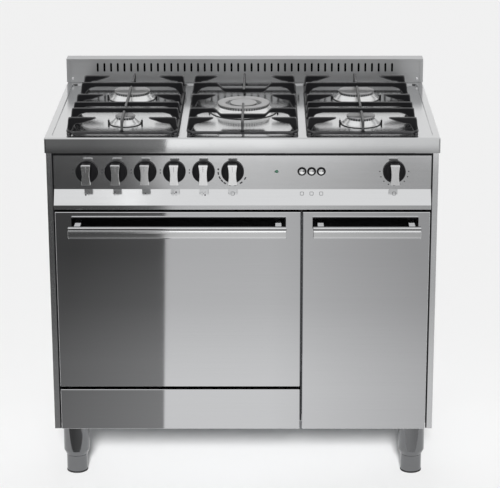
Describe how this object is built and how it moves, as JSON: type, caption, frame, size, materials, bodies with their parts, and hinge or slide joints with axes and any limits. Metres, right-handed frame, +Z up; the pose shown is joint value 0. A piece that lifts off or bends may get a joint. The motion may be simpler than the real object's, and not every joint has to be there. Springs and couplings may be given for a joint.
{
  "type": "range cooker",
  "caption": "Free-standing stainless-steel range cooker with gas hob, vented upstand, main and narrow oven behind drop-down doors, storage drawer and adjustable legs.",
  "frame": {"origin": "middle of the footprint on the floor", "axes": "+X to the right seen from the front, +Y towards the wall, +Z up"},
  "size_m": [0.9, 0.6576, 0.92],
  "materials": {
    "polished_steel": "mirror-polished sheet with a faint grain",
    "panel_steel": "fine brushed sheet",
    "galvanised": "matt zinc sheet",
    "enamel": "glossy dark grey vitreous enamel",
    "cast_iron": "black enamelled casting",
    "burner_aluminium": "satin cast aluminium",
    "satin_metal": "satin brushed bar",
    "black_plastic": "fine satin moulding",
    "seal_rubber": "matt",
    "brass": "dull plated tube",
    "lens": "clear dark green",
    "chrome_wire": "bright chromed wire",
    "element_steel": "heat-tinted tube"
  },
  "bodies": {
    "casing": {"side_panel_left": "polished_steel", "side_panel_right": "polished_steel", "rear_cover": "galvanised", "base_plate": "galvanised", "front_frame": "enamel", "hob_plate": "polished_steel", "rear_upstand": "panel_steel", "control_panel": "panel_steel", "main_oven_liner": "enamel", "main_oven_gasket": "seal_rubber", "main_oven_rack": "chrome_wire", "small_oven_liner": "enamel", "small_oven_gasket": "seal_rubber", "small_oven_rack": "chrome_wire", "main_oven_fan_cover": "enamel", "main_oven_grill_element": "element_steel", "gas_rail": "brass", "button_bezel": "black_plastic", "pilot_lamp": "lens", "burner_front_left": "burner_aluminium", "burner_rear_left": "burner_aluminium", "burner_front_right": "burner_aluminium", "burner_rear_right": "burner_aluminium", "burner_wok": "burner_aluminium", "leg_front_left": "satin_metal", "leg_front_right": "satin_metal", "leg_rear_left": "satin_metal", "leg_rear_right": "satin_metal"},
    "main_door": {"main_door_panel": "polished_steel", "main_door_inner": "enamel", "main_door_handle": "satin_metal"},
    "small_door": {"small_door_panel": "polished_steel", "small_door_inner": "enamel", "small_door_handle": "satin_metal"},
    "drawer": {"drawer_front": "polished_steel", "drawer_box": "galvanised"},
    "knob_front_left_body": {"knob_front_left": "satin_metal"},
    "knob_rear_left_body": {"knob_rear_left": "satin_metal"},
    "knob_wok_body": {"knob_wok": "satin_metal"},
    "knob_rear_right_body": {"knob_rear_right": "satin_metal"},
    "knob_front_right_body": {"knob_front_right": "satin_metal"},
    "knob_main_oven_body": {"knob_main_oven": "satin_metal"},
    "knob_small_oven_body": {"knob_small_oven": "satin_metal"},
    "button_left_body": {"button_left": "satin_metal"},
    "button_middle_body": {"button_middle": "satin_metal"},
    "button_right_body": {"button_right": "satin_metal"},
    "grate_left_body": {"grate_left": "cast_iron"},
    "grate_middle_body": {"grate_middle": "cast_iron"},
    "grate_right_body": {"grate_right": "cast_iron"},
    "cap_front_left_body": {"cap_front_left": "burner_aluminium"},
    "cap_rear_left_body": {"cap_rear_left": "burner_aluminium"},
    "cap_front_right_body": {"cap_front_right": "burner_aluminium"},
    "cap_rear_right_body": {"cap_rear_right": "burner_aluminium"},
    "cap_wok_ring_body": {"cap_wok_ring": "burner_aluminium"},
    "cap_wok_centre_body": {"cap_wok_centre": "burner_aluminium"},
    "foot_front_left_body": {"foot_front_left": "satin_metal"},
    "foot_front_right_body": {"foot_front_right": "satin_metal"},
    "foot_rear_left_body": {"foot_rear_left": "satin_metal"},
    "foot_rear_right_body": {"foot_rear_right": "satin_metal"}
  },
  "joints": [
    {"name": "main_door_hinge", "type": "hinge", "parent": "casing", "child": "main_door", "pos_m": [0, -0.25425, 0.287], "axis": [1, 0, 0], "range_deg": [0, 90]},
    {"name": "small_door_hinge", "type": "hinge", "parent": "casing", "child": "small_door", "pos_m": [0, -0.25425, 0.18], "axis": [1, 0, 0], "range_deg": [0, 90]},
    {"name": "drawer_slide", "type": "slide", "parent": "casing", "child": "drawer", "axis": [0, -1, 0], "range_m": [0, 0.38]},
    {"name": "knob_front_left_turn", "type": "hinge", "parent": "casing", "child": "knob_front_left_body", "pos_m": [-0.355, -0.25925, 0.778], "axis": [0, -1, 0], "range_deg": [0, 200]},
    {"name": "knob_rear_left_turn", "type": "hinge", "parent": "casing", "child": "knob_rear_left_body", "pos_m": [-0.2885, -0.25925, 0.778], "axis": [0, -1, 0], "range_deg": [0, 200]},
    {"name": "knob_wok_turn", "type": "hinge", "parent": "casing", "child": "knob_wok_body", "pos_m": [-0.222, -0.25925, 0.778], "axis": [0, -1, 0], "range_deg": [0, 200]},
    {"name": "knob_rear_right_turn", "type": "hinge", "parent": "casing", "child": "knob_rear_right_body", "pos_m": [-0.1555, -0.25925, 0.778], "axis": [0, -1, 0], "range_deg": [0, 200]},
    {"name": "knob_front_right_turn", "type": "hinge", "parent": "casing", "child": "knob_front_right_body", "pos_m": [-0.089, -0.25925, 0.778], "axis": [0, -1, 0], "range_deg": [0, 200]},
    {"name": "knob_main_oven_turn", "type": "hinge", "parent": "casing", "child": "knob_main_oven_body", "pos_m": [-0.0225, -0.25925, 0.778], "axis": [0, -1, 0], "range_deg": [0, 285]},
    {"name": "knob_small_oven_turn", "type": "hinge", "parent": "casing", "child": "knob_small_oven_body", "pos_m": [0.3465, -0.25925, 0.778], "axis": [0, -1, 0], "range_deg": [0, 320]},
    {"name": "button_left_push", "type": "slide", "parent": "casing", "child": "button_left_body", "axis": [0, 1, 0], "range_m": [0, 0.0025], "stiffness_N_per_m": 400},
    {"name": "button_middle_push", "type": "slide", "parent": "casing", "child": "button_middle_body", "axis": [0, 1, 0], "range_m": [0, 0.0025], "stiffness_N_per_m": 400},
    {"name": "button_right_push", "type": "slide", "parent": "casing", "child": "button_right_body", "axis": [0, 1, 0], "range_m": [0, 0.0025], "stiffness_N_per_m": 400},
    {"name": "grate_left_lift", "type": "slide", "parent": "casing", "child": "grate_left_body", "axis": [0, 0, 1], "range_m": [0, 0.08]},
    {"name": "grate_middle_lift", "type": "slide", "parent": "casing", "child": "grate_middle_body", "axis": [0, 0, 1], "range_m": [0, 0.08]},
    {"name": "grate_right_lift", "type": "slide", "parent": "casing", "child": "grate_right_body", "axis": [0, 0, 1], "range_m": [0, 0.08]},
    {"name": "cap_front_left_lift", "type": "slide", "parent": "casing", "child": "cap_front_left_body", "axis": [0, 0, 1], "range_m": [0, 0.003]},
    {"name": "cap_rear_left_lift", "type": "slide", "parent": "casing", "child": "cap_rear_left_body", "axis": [0, 0, 1], "range_m": [0, 0.003]},
    {"name": "cap_front_right_lift", "type": "slide", "parent": "casing", "child": "cap_front_right_body", "axis": [0, 0, 1], "range_m": [0, 0.003]},
    {"name": "cap_rear_right_lift", "type": "slide", "parent": "casing", "child": "cap_rear_right_body", "axis": [0, 0, 1], "range_m": [0, 0.003]},
    {"name": "cap_wok_ring_lift", "type": "slide", "parent": "casing", "child": "cap_wok_ring_body", "axis": [0, 0, 1], "range_m": [0, 0.05]},
    {"name": "cap_wok_centre_lift", "type": "slide", "parent": "casing", "child": "cap_wok_centre_body", "axis": [0, 0, 1], "range_m": [0, 0.05]},
    {"name": "foot_front_left_screw", "type": "slide", "parent": "casing", "child": "foot_front_left_body", "axis": [0, 0, -1], "range_m": [0, 0.04]},
    {"name": "foot_front_right_screw", "type": "slide", "parent": "casing", "child": "foot_front_right_body", "axis": [0, 0, -1], "range_m": [0, 0.04]},
    {"name": "foot_rear_left_screw", "type": "slide", "parent": "casing", "child": "foot_rear_left_body", "axis": [0, 0, -1], "range_m": [0, 0.04]},
    {"name": "foot_rear_right_screw", "type": "slide", "parent": "casing", "child": "foot_rear_right_body", "axis": [0, 0, -1], "range_m": [0, 0.04]}
  ]
}
